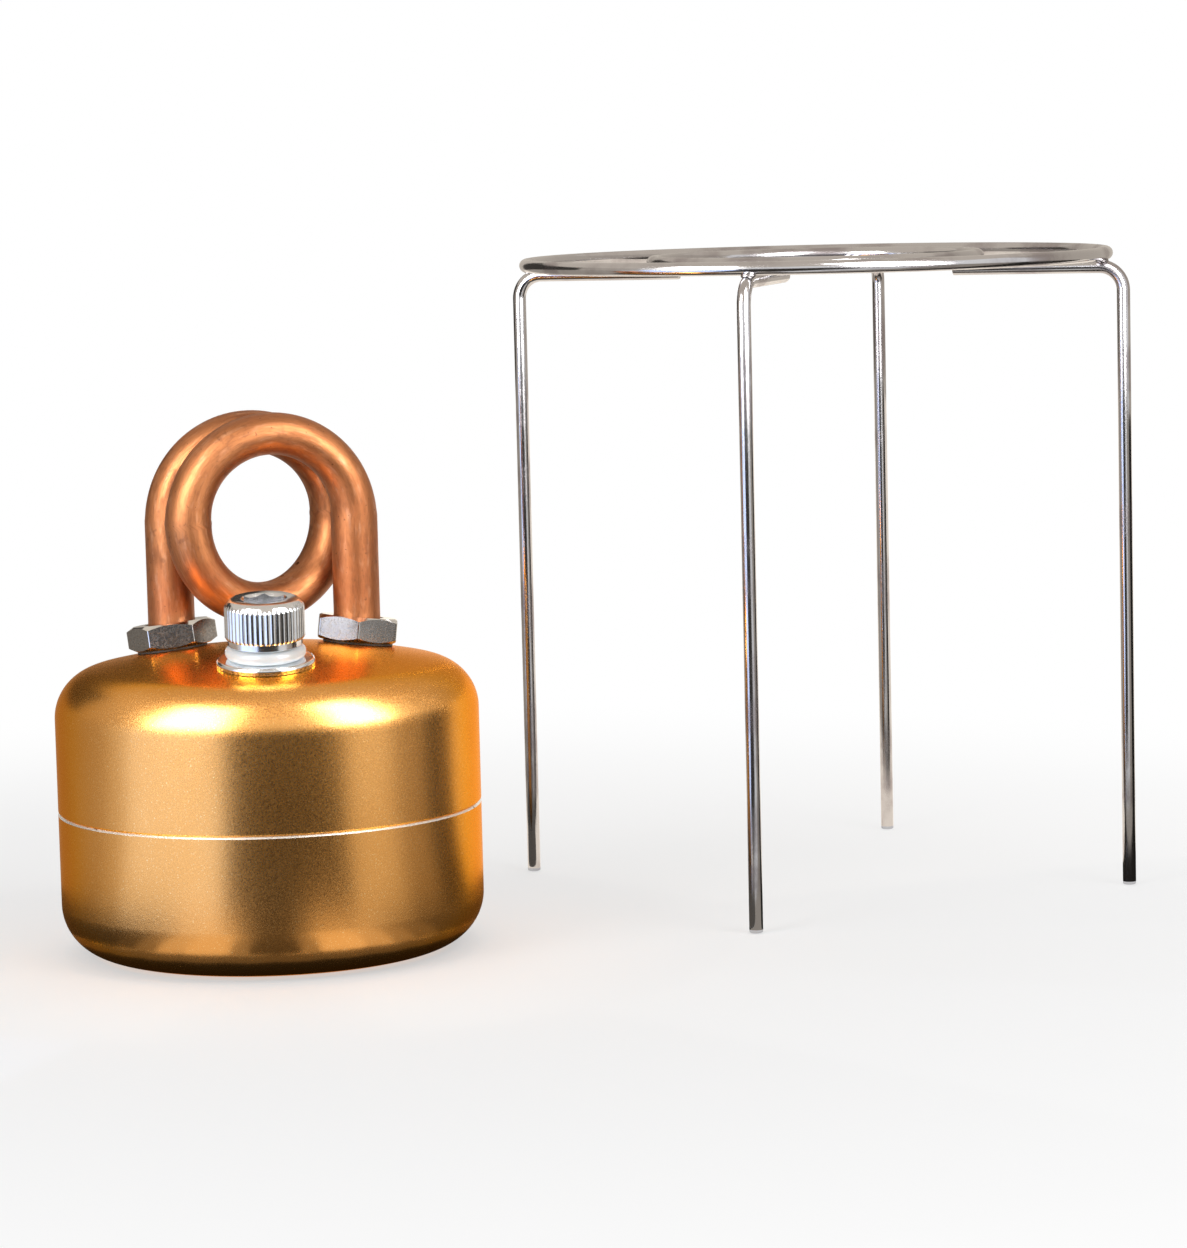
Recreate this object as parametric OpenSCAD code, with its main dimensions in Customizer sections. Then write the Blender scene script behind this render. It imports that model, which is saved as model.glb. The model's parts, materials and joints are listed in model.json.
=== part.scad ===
// Small alcohol stove with a coiled copper burner tube, and its wire pot stand.
// Millimetres, +Z up. The origin is the middle of the tank's flat foot.
// The filler faces -Y. The pot stand stands beside the stove, behind it to the right.

/* [Tank] */
// Outer diameter of the tank
tank_d = 54; // [50:0.5:60]
// Height of the tank at the middle of its domed top
tank_h = 38.9; // [36:0.1:44]
// Radius of the domed top
dome_r = 106; // [95:1:130]
// Radius of the shoulder between the top and the side
shoulder_r = 6.4; // [4:0.1:8]
// Radius of the bottom edge
foot_edge_r = 6.6; // [4:0.1:8]
// Wall of the upper shell and of the lower cup
tank_wall = 1.2; // [1:0.1:1.5]

/* [Seam] */
// Height of the seam between the upper shell and the lower cup
seam_z = 18.4; // [16:0.1:21]
// Chamfer on both outer edges of the seam
seam_chamfer = 0.25; // [0.1:0.05:0.4]
// Height of the cup's lip above the seam
lip_h = 5; // [4:0.5:6]
// Thickness of the cup's lip
lip_t = 1.6; // [1.5:0.1:2]
// Height of the thick band that carries the lip, below the seam
lip_root_h = 3; // [2:0.5:5]
// Depth of the seal's groove in the lip
groove_depth = 0.8; // [0.6:0.05:1]
// Height of the seal's groove in the lip
groove_h = 1.2; // [1.1:0.1:1.6]

/* [Filler] */
// Distance from the tank's axis to the filler, along the dome
filler_offset = 13.5; // [12.5:0.1:15]
// Diameter of the filler's flange
flange_d = 12.3; // [11.6:0.1:13.5]
// Thickness of the filler's flange
flange_h = 0.9; // [0.7:0.1:1.2]
// Rounding of the flange's upper rim
flange_round = 0.45; // [0.2:0.05:0.5]
// Number of serrations under the flange's rim
serration_count = 48; // [36:2:60]
// Diameter of the insert's body in the dome
insert_d = 9; // [8.4:0.1:9.6]
// Length of the insert's body below its flange
insert_l = 9.5; // [9:0.5:12]
// Diameter of the bulge that clamps the insert under the dome
bulge_d = 11.2; // [10.4:0.1:12]
// Height of the clamping bulge
bulge_h = 2.2; // [1.6:0.1:3]

/* [Plug] */
// Thread diameter of the plug
plug_thread_d = 6; // [5.6:0.1:6.2]
// Pitch of the thread
thread_pitch = 1; // [0.75:0.25:1.25]
// Depth of the thread
thread_depth = 0.45; // [0.3:0.05:0.6]
// Length of the plug below its head
plug_l = 10; // [9:0.5:11]
// Diameter of the plug's head
head_d = 10; // [9.5:0.1:10.5]
// Height of the plug's head
head_h = 6; // [5.5:0.1:7]
// Number of knurls round the head
knurl_count = 44; // [36:2:56]
// Depth of the knurls
knurl_depth = 0.28; // [0.15:0.01:0.3]
// Diameter of the plain band at the head's foot
band_d = 9.3; // [8.8:0.1:9.3]
// Height of the plain band at the head's foot
band_h = 1; // [0.6:0.1:1.5]
// Chamfer round the head's top
head_chamfer = 0.8; // [0.4:0.1:1]
// Width of the key socket, across its flats
socket_af = 5; // [4.5:0.1:5.5]
// Depth of the key socket
socket_depth = 3; // [2:0.1:3.5]
// Outer diameter of the sealing ring under the head
seal_ring_d = 10.1; // [9.6:0.1:10.8]
// Height of the squeezed sealing ring
seal_ring_h = 1.6; // [1.2:0.1:2]

/* [Burner tube] */
// Outer diameter of the copper tube
tube_d = 6; // [5:0.1:6.2]
// Bore of the copper tube
tube_bore = 4; // [3:0.1:4.4]
// Bend radius of the tube's centreline
bend_r = 11; // [10:0.1:12.5]
// Gap between neighbouring turns
turn_gap = 0.45; // [0.42:0.01:0.8]
// Height of the coil's middle
coil_z = 54.6; // [54:0.1:58]
// Distance from the tank's axis back to the plane of the legs
leg_back = 6.3; // [5:0.1:7]
// Height of the legs' lower ends inside the tank
leg_end_z = 10; // [9:0.5:14]
// Number of vapour jets in the lower turn
jet_count = 5; // [3:2:7]
// Diameter of a jet
jet_d = 0.6; // [0.4:0.1:1]
// Angle between neighbouring jets
jet_step = 20; // [10:1:24]

/* [Leg fittings] */
// Width of the nuts across their flats
nut_af = 10; // [9.6:0.1:10.5]
// Height of the nuts
nut_h = 3.2; // [2.6:0.1:3.4]
// Outer diameter of the gaskets on the dome
gasket_d = 9; // [8.4:0.1:9.4]
// Thickness of the gaskets on the dome
gasket_t = 0.3; // [0.2:0.05:0.6]
// Outer diameter of the washers under the dome
washer_d = 9.4; // [8.4:0.1:9.6]
// Thickness of the washers under the dome
washer_t = 0.8; // [0.5:0.1:1.2]

/* [Wick and pad] */
// Height of the cotton pad's top above the table
pad_top_z = 6.5; // [5:0.1:8]
// Height of the upper ends of the cotton strands
strand_top_z = 46; // [40:0.5:50]

/* [Pot stand] */
// Height of the pot stand
stand_h = 86; // [80:0.5:95]
// Diameter of the stand's wire
wire_d = 1.8; // [1.5:0.1:2.2]
// Diameter of the inner ring, on its centreline
inner_ring_d = 44; // [38:0.5:50]
// Diameter of the circle that the legs stand on
leg_circle_d = 84; // [83:0.5:88]
// Inset of the outer ring from the legs' circle, on their centrelines
ring_inset = 2.7; // [2.6:0.1:4]
// Bend radius of the legs
stand_bend_r = 3.2; // [2.5:0.1:3.6]
// Length of the spokes' stubs inside the inner ring
stub_l = 3; // [2:0.5:5]
// Depth that the welded wires sink into each other
weld_sink = 0.15; // [0.05:0.01:0.25]
// Distance from the stove to the stand where it stands beside the stove
stand_away = 84; // [84:0.5:110]
// Direction from the stove to the stand, from +X towards +Y
stand_dir = 25; // [15:1:50]

/* [Hidden] */
$fn = 64;

// Clearances and the overrun of all cuts
fit_gap = 0.02;
run_gap = 0.05;
leg_gap = 0.12;
strand_gap = 0.1;
pad_gap = 0.4;
cut_over = 1;

// Tank outline, on circles that meet tangentially
tank_r = tank_d / 2;
shoulder_x = tank_r - shoulder_r;
shoulder_z = tank_h - dome_r + sqrt(pow(dome_r - shoulder_r, 2) - pow(shoulder_x, 2));
dome_edge_angle = asin(shoulder_x / (dome_r - shoulder_r));
foot_r = tank_r - foot_edge_r;
dome_steps = 8;
edge_steps = 10;

function arc_points(x, z, r, from, to, steps) =
    [for (i = [0:steps]) let (a = from + (to - from) * i / steps) [x + r * sin(a), z + r * cos(a)]];
function backwards(points) = [for (i = [len(points) - 1:-1:0]) points[i]];
function turned(points, back) = back ? backwards(points) : points;
function dome_outline(inset, back) = turned(concat(
    [[0, tank_h - inset]],
    arc_points(0, tank_h - dome_r, dome_r - inset, dome_edge_angle / dome_steps,
        dome_edge_angle, dome_steps - 1),
    arc_points(shoulder_x, shoulder_z, shoulder_r - inset,
        dome_edge_angle + (90 - dome_edge_angle) / edge_steps, 90, edge_steps - 1)
), back);
function foot_outline(inset, back) = turned(concat(
    [[0, inset]],
    arc_points(foot_r, foot_edge_r, foot_edge_r - inset, 180, 90, edge_steps)
), back);

// Seam and lip
lip_outer_r = tank_r - tank_wall - fit_gap;
lip_inner_r = lip_outer_r - lip_t;
lip_edge_chamfer = groove_depth / 2;
groove_z = seam_z + lip_h / 2;

// Dome surface and the fittings on it
function dome_z(r) = tank_h - dome_r + sqrt(pow(dome_r, 2) - pow(r, 2));
function seat_drop(surface_r, r) = surface_r - sqrt(pow(surface_r, 2) - pow(r, 2));
inner_dome_r = dome_r - tank_wall;
insert_seat = -seat_drop(dome_r, insert_d / 2);
flange_top = insert_seat + flange_h;
serration_h = flange_h / 3;
serration_depth = flange_h / 5;
bulge_top = -tank_wall - seat_drop(inner_dome_r, bulge_d / 2) - fit_gap;

// Plug
plug_thread_r = plug_thread_d / 2;
plug_seat = flange_top + seal_ring_h;
thread_root_r = plug_thread_r - thread_depth;
thread_turns = floor((plug_l - 2 * thread_pitch) / thread_pitch);
thread_top = -thread_pitch;
band_chamfer = band_h / 4;
socket_r = socket_af / 2 / cos(30);
seal_inner_r = plug_thread_r + run_gap;

// Burner tube: three half turns with one bend radius, all upright where they meet
turn_pitch = tube_d + turn_gap;
turn_angle = asin(turn_pitch / (2 * bend_r));
rear_angle = atan(sin(turn_angle) / (2 - cos(turn_angle)));
cross_angle = rear_angle + turn_angle;
leg_half = bend_r * (2 * cos(rear_angle) - cos(cross_angle));
left_leg = [-leg_half, leg_back];
right_leg = [leg_half, leg_back];
rear_joint = left_leg + 2 * bend_r * [cos(rear_angle), sin(rear_angle)];
front_joint = right_leg - 2 * bend_r * [cos(rear_angle), sin(rear_angle)];

// Stations along the tube: place, level direction across the bend, way forward and twist
bend_steps = 16;
tube_sides = 16;
function chord_angle(a, b) = atan2(b[1] - a[1], b[0] - a[0]);
function station(p, z, angle, forward, twist) =
    [[p[0], p[1], z], [sin(angle), -cos(angle), 0], forward, twist];
function half_turn(a, b, up, twist, first) = [
    for (i = [first:bend_steps])
        let (t = 180 * i / bend_steps, angle = chord_angle(a, b), p = (a + b) / 2 - (b - a) / 2 * cos(t))
            station(p, coil_z + up * bend_r * sin(t), angle,
                [cos(angle) * sin(t), sin(angle) * sin(t), up * cos(t)], twist)
];
stations = concat(
    [station(left_leg, leg_end_z, rear_angle, [0, 0, 1], 0)],
    half_turn(left_leg, rear_joint, 1, 0, 0),
    half_turn(rear_joint, front_joint, -1, 180 + turn_angle, 1),
    half_turn(front_joint, right_leg, 1, 2 * turn_angle, 1),
    [station(right_leg, leg_end_z, rear_angle, [0, 0, -1], 2 * turn_angle)]
);

// Least gap of the tube to itself, measured on points along its centreline
leg_steps = 24;
function leg_points(p) =
    [for (i = [0:leg_steps]) [p[0], p[1], leg_end_z + (coil_z - leg_end_z) * i / leg_steps]];
right_leg_points = leg_points(right_leg);
centreline = concat(
    leg_points(left_leg),
    [for (i = [2:len(stations) - 2]) stations[i][0]],
    [for (i = [leg_steps:-1:0]) right_leg_points[i]]
);
near_points = ceil(3 * tube_d / ((coil_z - leg_end_z) / leg_steps));
least_gap = min([
    for (i = [0:len(centreline) - 1])
        for (j = [i + near_points:1:len(centreline) - 1])
            norm(centreline[i] - centreline[j])
]) - tube_d;
echo(least_gap_of_the_tube_to_itself = least_gap);

// Leg fittings, leaning outwards with the dome
leg_pitch_r = norm(left_leg);
leg_tilt = asin(leg_pitch_r / dome_r);
nut_corner_r = nut_af / 2 / cos(30);
nut_face_share = 0.96;
nut_face_r = nut_af / 2 * nut_face_share;
nut_edge_share = 0.577;
nut_edge_h = (nut_corner_r - nut_face_r) * nut_edge_share;
nut_bore_r = tube_d / 2 / cos(leg_tilt) + nut_h / 2 * tan(leg_tilt) + run_gap;
gasket_bore_r = tube_d / 2 / cos(leg_tilt) + washer_t / 2 * tan(leg_tilt) + run_gap;
gasket_drop = seat_drop(dome_r, tube_d / 2);
gasket_mid = gasket_t / 2 - gasket_drop;
outer_nut_mid = gasket_t + nut_h / 2 - gasket_drop;
washer_mid = -tank_wall - seat_drop(inner_dome_r, washer_d / 2) - fit_gap - washer_t / 2;
inner_nut_mid = washer_mid - (washer_t + nut_h) / 2;
left_nut_turn = 0;
right_nut_turn = 30;

// Wick and pad
strand_r = tube_bore / 2 - strand_gap;
pad_r = foot_r - pad_gap;
pad_round = (pad_top_z - tank_wall) / 4;

// Pot stand
stand_at = stand_away * [cos(stand_dir), sin(stand_dir)];
wire_r = wire_d / 2;
ring_z = stand_h - wire_r;
spoke_z = ring_z - wire_d + weld_sink;
leg_r = leg_circle_d / 2;
outer_ring_r = leg_r - ring_inset;
inner_ring_r = inner_ring_d / 2;
spoke_in_r = inner_ring_r - stub_l;
spoke_out_r = leg_r - stand_bend_r;
stand_leg_count = 4;

gold = "#c8922e";
steel = "#b9bcc0";
copper = "#b8683c";
cotton = "#efe9da";
milky = "#dfe6ea";
dark = "#2b2b2d";

// Puts its children on the dome, square to it
module on_dome(direction, distance) {
    translate([0, 0, tank_h - dome_r])
        rotate([0, 0, direction])
            rotate([0, asin(distance / dome_r), 0])
                translate([0, 0, dome_r])
                    children();
}

// Puts its children on a leg's axis, leaning with the dome, at a height above the dome
module on_leg(leg, height) {
    direction = atan2(leg[1], leg[0]);
    translate([leg[0], leg[1], dome_z(leg_pitch_r) + height / cos(leg_tilt)])
        rotate([0, 0, direction])
            rotate([0, leg_tilt, 0])
                rotate([0, 0, -direction])
                    children();
}

module disc(r, h, hole_r) {
    difference() {
        cylinder(r = r, h = h, center = true);
        cylinder(r = hole_r, h = h + 2 * cut_over, center = true);
    }
}

module upper_shell() {
    color(gold)
        difference() {
            rotate_extrude()
                polygon(concat(
                    dome_outline(tank_wall, true),
                    dome_outline(0, false),
                    [
                        [tank_r, seam_z + seam_chamfer],
                        [tank_r - seam_chamfer, seam_z],
                        [tank_r - tank_wall, seam_z]
                    ]
                ));
            on_dome(-90, filler_offset)
                cylinder(r = insert_d / 2 + fit_gap, h = 4 * tank_wall, center = true);
            for (leg = [left_leg, right_leg])
                translate([leg[0], leg[1], tank_h - 4 * tank_wall])
                    cylinder(r = tube_d / 2 + leg_gap, h = 8 * tank_wall);
        }
}

module lower_cup() {
    inner_r = tank_r - tank_wall;
    root_z = seam_z - lip_root_h;
    color(gold)
        rotate_extrude()
            polygon(concat(
                foot_outline(0, false),
                [
                    [tank_r, seam_z - seam_chamfer],
                    [tank_r - seam_chamfer, seam_z],
                    [lip_outer_r, seam_z],
                    [lip_outer_r, groove_z - groove_h / 2],
                    [lip_outer_r - groove_depth, groove_z - groove_h / 2],
                    [lip_outer_r - groove_depth, groove_z + groove_h / 2],
                    [lip_outer_r, groove_z + groove_h / 2],
                    [lip_outer_r, seam_z + lip_h - lip_edge_chamfer],
                    [lip_outer_r - lip_edge_chamfer, seam_z + lip_h],
                    [lip_inner_r, seam_z + lip_h],
                    [lip_inner_r, root_z],
                    [inner_r, root_z - (inner_r - lip_inner_r)]
                ],
                foot_outline(tank_wall, true)
            ));
}

module seam_seal() {
    seal_room = groove_depth + fit_gap;
    color(dark)
        rotate_extrude()
            translate([lip_outer_r - groove_depth + seal_room / 2, groove_z])
                circle(d = seal_room - 2 * fit_gap);
}

module filler_insert() {
    flange_r = flange_d / 2;
    insert_r = insert_d / 2;
    bulge_r = bulge_d / 2;
    bore_r = plug_thread_r + run_gap;
    slope = bulge_r - insert_r;
    rim = arc_points(flange_r - flange_round, flange_top - flange_round, flange_round, 0, 90, 6);
    color(steel)
        on_dome(-90, filler_offset)
            union() {
                rotate_extrude()
                    polygon(concat(
                        [[bore_r, flange_top]],
                        rim,
                        [
                            [flange_r, insert_seat + serration_h],
                            [flange_r - serration_depth, insert_seat + serration_h],
                            [flange_r - serration_depth, insert_seat],
                            [insert_r, insert_seat],
                            [insert_r, bulge_top],
                            [bulge_r, bulge_top],
                            [bulge_r, bulge_top - bulge_h / 2],
                            [insert_r, bulge_top - bulge_h / 2 - slope],
                            [insert_r, insert_seat - insert_l],
                            [bore_r, insert_seat - insert_l]
                        ]
                    ));
                for (i = [0:serration_count - 1])
                    rotate([0, 0, 360 * i / serration_count])
                        translate([flange_r - 2 * serration_depth, -serration_depth, insert_seat])
                            cube([2 * serration_depth, 2 * serration_depth, serration_h]);
            }
}

module plug_seal_ring() {
    ring_r = seal_ring_d / 2;
    half = seal_ring_h / 2;
    color(milky)
        on_dome(-90, filler_offset)
            translate([0, 0, flange_top + half])
                rotate_extrude()
                    union() {
                        translate([seal_inner_r + half, -half])
                            square([ring_r - seal_inner_r - seal_ring_h, seal_ring_h]);
                        for (x = [seal_inner_r + half, ring_r - half])
                            translate([x, 0])
                                circle(r = half);
                    }
}

module plug_thread() {
    last = thread_top - thread_turns * thread_pitch;
    rotate_extrude()
        polygon(concat(
            [[0, 0], [plug_thread_r, 0], [plug_thread_r, thread_top]],
            [
                for (i = [0:thread_turns - 1])
                    for (p = [[0.5, thread_root_r], [1, plug_thread_r]])
                        [p[1], thread_top - (i + p[0]) * thread_pitch]
            ],
            [[thread_root_r, last - thread_depth], [thread_root_r, -plug_l], [0, -plug_l]]
        ));
}

module plug_head() {
    head_r = head_d / 2;
    band_r = band_d / 2;
    knurls = [
        for (i = [0:2 * knurl_count - 1])
            let (a = 180 * i / knurl_count, r = head_r - (i % 2) * knurl_depth)
                [r * cos(a), r * sin(a)]
    ];
    rotate_extrude()
        polygon([
            [0, 0], [band_r - band_chamfer, 0], [band_r, band_chamfer],
            [band_r, head_h - head_chamfer], [head_r - head_chamfer, head_h], [0, head_h]
        ]);
    translate([0, 0, band_h])
        linear_extrude(head_h - head_chamfer - band_h)
            polygon(knurls);
}

module plug_screw() {
    color(steel)
        on_dome(-90, filler_offset)
            translate([0, 0, plug_seat])
                difference() {
                    union() {
                        plug_thread();
                        plug_head();
                    }
                    translate([0, 0, head_h - socket_depth])
                        cylinder(r = socket_r, h = socket_depth + cut_over, $fn = 6);
                }
}

// Ring of points round a station
function tube_ring(station, r) = [
    for (k = [0:tube_sides - 1])
        let (phi = 360 * k / tube_sides + station[3], side = cross(station[2], station[1]))
            station[0] + r * (cos(phi) * station[1] + sin(phi) * side)
];

// Two triangles on each side between ring a and ring b, by the number of their first points
function ring_faces(a, b) = [
    for (k = [0:tube_sides - 1])
        let (next = (k + 1) % tube_sides)
            for (face = [[a + k, a + next, b + k], [a + next, b + next, b + k]])
                face
];

// Hollow tube along all stations, open at both ends
module swept_tube(outer_r, inner_r) {
    count = len(stations);
    last = (count - 1) * tube_sides;
    inner = count * tube_sides;
    points = concat(
        [for (station = stations) each tube_ring(station, outer_r)],
        [for (station = stations) each tube_ring(station, inner_r)]
    );
    faces = concat(
        [for (i = [0:count - 2]) each ring_faces(i * tube_sides, (i + 1) * tube_sides)],
        [for (i = [0:count - 2]) each ring_faces(inner + (i + 1) * tube_sides, inner + i * tube_sides)],
        ring_faces(inner, 0),
        ring_faces(last, inner + last)
    );
    polyhedron(points, faces);
}

module jets() {
    middle = (rear_joint + front_joint) / 2;
    for (i = [0:jet_count - 1])
        translate([middle[0], middle[1], coil_z])
            rotate([0, 0, cross_angle])
                rotate([0, (i - (jet_count - 1) / 2) * jet_step, 0])
                    translate([0, 0, -bend_r])
                        cylinder(r = jet_d / 2, h = tube_d / 2 + cut_over, $fn = 16);
}

module burner_tube() {
    color(copper)
        difference() {
            swept_tube(tube_d / 2, tube_bore / 2);
            jets();
        }
}

module hex_nut(turn) {
    difference() {
        intersection() {
            rotate([0, 0, turn])
                cylinder(r = nut_corner_r, h = nut_h, center = true, $fn = 6);
            translate([0, 0, -nut_h / 2])
                rotate_extrude()
                    polygon([
                        [0, 0], [nut_face_r, 0], [nut_corner_r, nut_edge_h],
                        [nut_corner_r, nut_h - nut_edge_h], [nut_face_r, nut_h], [0, nut_h]
                    ]);
        }
        cylinder(r = nut_bore_r, h = nut_h + 2 * cut_over, center = true);
    }
}

module outer_nut(leg, turn) {
    color(steel)
        on_leg(leg, outer_nut_mid)
            hex_nut(turn);
}

module inner_nut(leg) {
    color(steel)
        on_leg(leg, inner_nut_mid)
            hex_nut(0);
}

module gasket(leg) {
    color(dark)
        on_leg(leg, gasket_mid)
            disc(gasket_d / 2, gasket_t, gasket_bore_r);
}

module inner_washer(leg) {
    color(dark)
        on_leg(leg, washer_mid)
            disc(washer_d / 2, washer_t, gasket_bore_r);
}

module wick(leg) {
    color(cotton)
        translate([leg[0], leg[1], pad_top_z])
            cylinder(r = strand_r, h = strand_top_z - pad_top_z);
}

module fuel_pad() {
    color(cotton)
        rotate_extrude()
            polygon(concat(
                [[0, tank_wall]],
                [[0, pad_top_z]],
                arc_points(pad_r - pad_round, pad_top_z - pad_round, pad_round, 0, 90, 4),
                [[pad_r, tank_wall]]
            ));
}

module stand_ring(ring_r) {
    color(steel)
        translate([stand_at[0], stand_at[1], ring_z])
            rotate_extrude($fn = 128)
                translate([ring_r, 0])
                    circle(r = wire_r);
}

module stand_leg(i) {
    color(steel)
        translate([stand_at[0], stand_at[1], 0])
            rotate([0, 0, stand_dir + 45 + 360 * i / stand_leg_count])
                union() {
                    translate([spoke_in_r, 0, spoke_z])
                        rotate([0, 90, 0])
                            cylinder(r = wire_r, h = spoke_out_r - spoke_in_r);
                    translate([spoke_out_r, 0, spoke_z - stand_bend_r])
                        rotate([90, 0, 0])
                            rotate_extrude(angle = 90)
                                translate([stand_bend_r, 0])
                                    circle(r = wire_r);
                    translate([leg_r, 0, 0])
                        cylinder(r = wire_r, h = spoke_z - stand_bend_r);
                }
}

upper_shell();
lower_cup();
seam_seal();
filler_insert();
plug_seal_ring();
plug_screw();
burner_tube();
outer_nut(left_leg, left_nut_turn);  // left_outer_nut
outer_nut(right_leg, right_nut_turn);  // right_outer_nut
gasket(left_leg);  // left_gasket
gasket(right_leg);  // right_gasket
inner_nut(left_leg);  // left_inner_nut
inner_nut(right_leg);  // right_inner_nut
inner_washer(left_leg);  // left_inner_washer
inner_washer(right_leg);  // right_inner_washer
wick(left_leg);  // left_wick
wick(right_leg);  // right_wick
fuel_pad();
stand_ring(outer_ring_r);  // stand_outer_ring
stand_ring(inner_ring_r);  // stand_inner_ring
stand_leg(0);  // stand_leg_1
stand_leg(1);  // stand_leg_2
stand_leg(2);  // stand_leg_3
stand_leg(3);  // stand_leg_4
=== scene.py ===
"""Looks of a small alcohol stove with a coiled copper burner tube, and of its wire pot stand."""

import json
import math

import bpy
import numpy as np
from mathutils import Matrix, Vector, noise


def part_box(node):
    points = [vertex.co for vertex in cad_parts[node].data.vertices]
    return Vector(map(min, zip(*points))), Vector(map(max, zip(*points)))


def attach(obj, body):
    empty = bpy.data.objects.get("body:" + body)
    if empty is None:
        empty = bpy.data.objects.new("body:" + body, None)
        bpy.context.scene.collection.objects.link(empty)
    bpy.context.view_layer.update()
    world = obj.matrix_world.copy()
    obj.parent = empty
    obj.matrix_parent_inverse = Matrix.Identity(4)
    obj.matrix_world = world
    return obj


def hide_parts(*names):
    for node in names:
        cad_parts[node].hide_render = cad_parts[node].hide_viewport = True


bl_info = {
    "name": "Alcohol stove with pot stand",
    "version": (1, 0, 0),
    "blender": (4, 5, 0),
    "location": "View3D > Sidebar > Stove",
    "description": "Models and finishes the stove, its filler plug, burner tube and pot stand",
    "category": "Object",
}

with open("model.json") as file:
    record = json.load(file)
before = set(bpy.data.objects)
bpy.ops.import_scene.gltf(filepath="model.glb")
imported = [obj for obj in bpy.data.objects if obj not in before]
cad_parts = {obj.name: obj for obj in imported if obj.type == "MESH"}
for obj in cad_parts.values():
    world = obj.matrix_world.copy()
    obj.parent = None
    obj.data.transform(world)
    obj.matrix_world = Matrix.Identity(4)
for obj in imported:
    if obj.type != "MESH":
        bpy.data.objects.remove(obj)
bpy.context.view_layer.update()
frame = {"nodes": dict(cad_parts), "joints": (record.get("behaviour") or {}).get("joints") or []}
MM = 0.001
TURN = 2 * math.pi


def corners(node):
    low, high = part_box(node)
    return Vector(low), Vector(high)


def middle(node):
    low, high = corners(node)
    return (low + high) / 2


def width(node):
    low, high = corners(node)
    return high.x - low.x


def height(node):
    low, high = corners(node)
    return high.z - low.z


# Places and sizes that the frame gives
JOINTS = {joint["name"]: joint for joint in frame["joints"]}
FILLER_AT = Vector(JOINTS["plug_turn"]["pos_m"])
FILLER_AXIS = Vector(JOINTS["plug_turn"]["axis"]).normalized()
TANK_R = width("upper_shell") / 2
TANK_H = corners("upper_shell")[1].z
SEAM_Z = corners("upper_shell")[0].z
LEFT_LEG = middle("left_wick")
RIGHT_LEG = middle("right_wick")
LEG_END_Z = corners("burner_tube")[0].z
COIL_TOP = corners("burner_tube")[1].z
STAND_AT = middle("stand_outer_ring")
WIRE_D = height("stand_outer_ring")

# Gaps between pressed parts, round threads and rings, round the tube's legs, and under the cards
HAIR = 0.02 * MM
LOOSE = 0.05 * MM
LEG_PLAY = 0.12 * MM
FLOOR_GAP = 0.4 * MM

WIRE_SIDES = 20


def length(name, text, default_mm):
    """A length property, given in millimetres."""
    return bpy.props.FloatProperty(
        name=name, description=text, default=default_mm * MM, precision=5, unit="LENGTH"
    )


def number(name, text, default):
    return bpy.props.IntProperty(name=name, description=text, default=default)


def colour(name, text, rgb):
    return bpy.props.FloatVectorProperty(
        name=name, description=text, default=rgb, size=3, min=0, max=1, subtype="COLOR"
    )


class StoveSizes(bpy.types.PropertyGroup):
    """Sizes of the tank, the filler, the burner tube and the nuts"""

    dome_r: length("Dome radius", "Radius of the domed top", 106)
    shoulder_r: length("Shoulder radius", "Radius between the top and the side", 6.4)
    foot_edge_r: length("Foot edge radius", "Radius of the bottom edge", 6.6)
    wall: length("Wall", "Wall of both shells", 1.2)
    seam_chamfer: length("Seam chamfer", "Chamfer on both edges of the seam", 0.25)
    lip_h: length("Lip height", "Height of the cup's lip above the seam", 5)
    lip_t: length("Lip thickness", "Thickness of the cup's lip", 1.6)
    flange_d: length("Flange", "Diameter of the filler's flange", 12.3)
    flange_h: length("Flange height", "Thickness of the filler's flange", 0.9)
    insert_d: length("Insert", "Diameter of the insert in the dome", 9)
    insert_l: length("Insert length", "Length of the insert below its flange", 9.5)
    bulge_d: length("Bulge", "Diameter of the bulge under the dome", 11.2)
    plug_d: length("Plug thread", "Diameter of the plug's thread", 6)
    plug_l: length("Plug length", "Length of the plug below its head", 10)
    pitch: length("Pitch", "Pitch of the plug's thread", 1)
    head_d: length("Head", "Diameter of the plug's head", 10)
    head_h: length("Head height", "Height of the plug's head", 6)
    band_d: length("Band", "Diameter of the plain band at the head's foot", 9.3)
    band_h: length("Band height", "Height of the plain band at the head's foot", 1)
    socket_af: length("Key socket", "Width of the key socket across its flats", 5)
    socket_depth: length("Key socket depth", "Depth of the key socket", 3)
    seal_d: length("Sealing ring", "Outer diameter of the sealing ring", 10.1)
    seal_h: length("Sealing ring height", "Height of the squeezed sealing ring", 1.6)
    tube_d: length("Tube", "Outer diameter of the copper tube", 6)
    tube_bore: length("Tube bore", "Bore of the copper tube", 4)
    bend_r: length("Bend radius", "Bend radius of the tube's centreline", 11)
    turn_gap: length("Turn gap", "Gap between neighbouring turns", 0.45)
    jet_d: length("Jet", "Diameter of a vapour jet", 0.6)
    nut_af: length("Nut", "Width of the nuts across their flats", 10)
    nut_h: length("Nut height", "Height of the nuts", 3.2)
    knurls: number("Knurls", "Knurls round the head", 44)
    serrations: number("Serrations", "Serrations under the flange's rim", 48)
    jets: number("Jets", "Vapour jets", 5)


class StandSizes(bpy.types.PropertyGroup):
    """Sizes of the wire pot stand"""

    leg_circle_d: length("Leg circle", "Diameter of the circle that the legs stand on", 84)
    bend_r: length("Bend", "Bend radius of the legs", 3.2)
    stub: length("Stub", "Length of the spokes' stubs inside the inner ring", 3)
    weld_sink: length("Weld sink", "Depth that the welded wires sink into each other", 0.15)
    direction: bpy.props.FloatProperty(
        name="Direction", description="Direction from the stove to the stand",
        default=math.radians(25), subtype="ANGLE",
    )


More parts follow.
